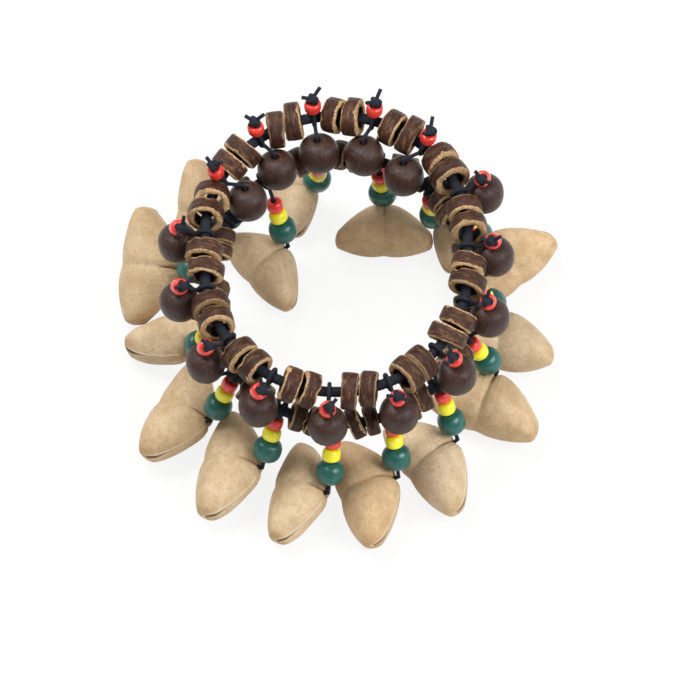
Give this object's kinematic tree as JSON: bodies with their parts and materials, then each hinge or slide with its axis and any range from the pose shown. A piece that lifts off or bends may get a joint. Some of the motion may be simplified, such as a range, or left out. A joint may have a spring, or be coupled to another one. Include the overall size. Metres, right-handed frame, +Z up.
{
  "type": "nutshell shaker bracelet",
  "caption": "Elastic bracelet of coconut rings and wooden beads, with hollow nutshells hanging on beaded cords that rattle when it is shaken.",
  "frame": {"origin": "on the table, under the middle of the lower elastic loop", "axes": "+Z up through the wrist opening, +X to the right and -Y towards the front of the picture"},
  "size_m": [0.1292, 0.1306, 0.0639],
  "materials": {
    "nutshell": "dry and matt, pale tan",
    "coconut": "polished dark brown outside, paler cut ends",
    "brown_wood": "satin varnish",
    "red_bead": "gloss",
    "yellow_bead": "gloss",
    "green_bead": "satin paint",
    "elastic": "ribbed covered elastic",
    "cord": "twisted waxed cord"
  },
  "bodies": {
    "band": {"upper_elastic": "elastic", "lower_elastic": "elastic", "upper_coco_rings": "coconut", "lower_coco_rings": "coconut", "brown_beads": "brown_wood", "top_red_beads": "red_bead", "strand_cords": "cord"},
    "pendant_01": {"nutshell_01": "nutshell", "pendant_beads_01": "green_bead", "pendant_cord_01": "cord"},
    "pendant_02": {"nutshell_02": "nutshell", "pendant_beads_02": "green_bead", "pendant_cord_02": "cord"},
    "pendant_03": {"nutshell_03": "nutshell", "pendant_beads_03": "green_bead", "pendant_cord_03": "cord"},
    "pendant_04": {"nutshell_04": "nutshell", "pendant_beads_04": "green_bead", "pendant_cord_04": "cord"},
    "pendant_05": {"nutshell_05": "nutshell", "pendant_beads_05": "green_bead", "pendant_cord_05": "cord"},
    "pendant_06": {"nutshell_06": "nutshell", "pendant_beads_06": "green_bead", "pendant_cord_06": "cord"},
    "pendant_07": {"nutshell_07": "nutshell", "pendant_beads_07": "green_bead", "pendant_cord_07": "cord"},
    "pendant_08": {"nutshell_08": "nutshell", "pendant_beads_08": "green_bead", "pendant_cord_08": "cord"},
    "pendant_09": {"nutshell_09": "nutshell", "pendant_beads_09": "green_bead", "pendant_cord_09": "cord"},
    "pendant_10": {"nutshell_10": "nutshell", "pendant_beads_10": "green_bead", "pendant_cord_10": "cord"},
    "pendant_11": {"nutshell_11": "nutshell", "pendant_beads_11": "green_bead", "pendant_cord_11": "cord"},
    "pendant_12": {"nutshell_12": "nutshell", "pendant_beads_12": "green_bead", "pendant_cord_12": "cord"},
    "pendant_13": {"nutshell_13": "nutshell", "pendant_beads_13": "green_bead", "pendant_cord_13": "cord"},
    "pendant_14": {"nutshell_14": "nutshell", "pendant_beads_14": "green_bead", "pendant_cord_14": "cord"},
    "pendant_15": {"nutshell_15": "nutshell", "pendant_beads_15": "green_bead", "pendant_cord_15": "cord"}
  },
  "joints": [
    {"name": "swing_01", "type": "hinge", "parent": "band", "child": "pendant_01", "pos_m": [-0.00649, 0.04248, 0.03697], "axis": [0.9848, 0.1732, 0.0121], "range_deg": [-15, 0]},
    {"name": "swing_02", "type": "hinge", "parent": "band", "child": "pendant_02", "pos_m": [0.01053, 0.04154, 0.0369], "axis": [0.9596, -0.2808, -0.0196], "range_deg": [-36, 0]},
    {"name": "swing_03", "type": "hinge", "parent": "band", "child": "pendant_03", "pos_m": [0.02536, 0.03316, 0.03632], "axis": [0.7349, -0.6765, -0.0473], "range_deg": [0, 30]},
    {"name": "swing_04", "type": "hinge", "parent": "band", "child": "pendant_04", "pos_m": [0.03493, 0.01908, 0.03533], "axis": [0.3576, -0.9316, -0.0651], "range_deg": [0, 30]},
    {"name": "swing_05", "type": "hinge", "parent": "band", "child": "pendant_05", "pos_m": [0.0374, 0.00222, 0.03415], "axis": [0, -0.9976, -0.0698], "range_deg": [-32, 0]},
    {"name": "swing_06", "type": "hinge", "parent": "band", "child": "pendant_06", "pos_m": [0.03627, -0.01484, 0.03296], "axis": [-0.2441, -0.9674, -0.0677], "range_deg": [-28, 0]},
    {"name": "swing_07", "type": "hinge", "parent": "band", "child": "pendant_07", "pos_m": [0.02845, -0.02995, 0.03191], "axis": [-0.6491, -0.7588, -0.0531], "range_deg": [0, 30]},
    {"name": "swing_08", "type": "hinge", "parent": "band", "child": "pendant_08", "pos_m": [0.01472, -0.04004, 0.0312], "axis": [-0.9193, -0.3926, -0.0275], "range_deg": [0, 30]},
    {"name": "swing_09", "type": "hinge", "parent": "band", "child": "pendant_09", "pos_m": [-0.00207, -0.04299, 0.03099], "axis": [-0.9985, 0.0552, 0.0039], "range_deg": [0, 30]},
    {"name": "swing_10", "type": "hinge", "parent": "band", "child": "pendant_10", "pos_m": [-0.01843, -0.0382, 0.03133], "axis": [-0.8702, 0.4916, 0.0344], "range_deg": [-36, 0]},
    {"name": "swing_11", "type": "hinge", "parent": "band", "child": "pendant_11", "pos_m": [-0.03096, -0.02667, 0.03213], "axis": [-0.561, 0.8258, 0.0577], "range_deg": [0, 30]},
    {"name": "swing_12", "type": "hinge", "parent": "band", "child": "pendant_12", "pos_m": [-0.03706, -0.01078, 0.03325], "axis": [-0.1353, 0.9884, 0.0691], "range_deg": [-36, 0]},
    {"name": "swing_13", "type": "hinge", "parent": "band", "child": "pendant_13", "pos_m": [-0.03739, 0.00636, 0.03444], "axis": [0.0166, 0.9974, 0.0697], "range_deg": [0, 30]},
    {"name": "swing_14", "type": "hinge", "parent": "band", "child": "pendant_14", "pos_m": [-0.03323, 0.02285, 0.0356], "axis": [0.4587, 0.8864, 0.062], "range_deg": [0, 6]},
    {"name": "swing_15", "type": "hinge", "parent": "band", "child": "pendant_15", "pos_m": [-0.02217, 0.03578, 0.0365], "axis": [-0.8054, -0.5913, -0.0413], "range_deg": [0, 30]}
  ]
}
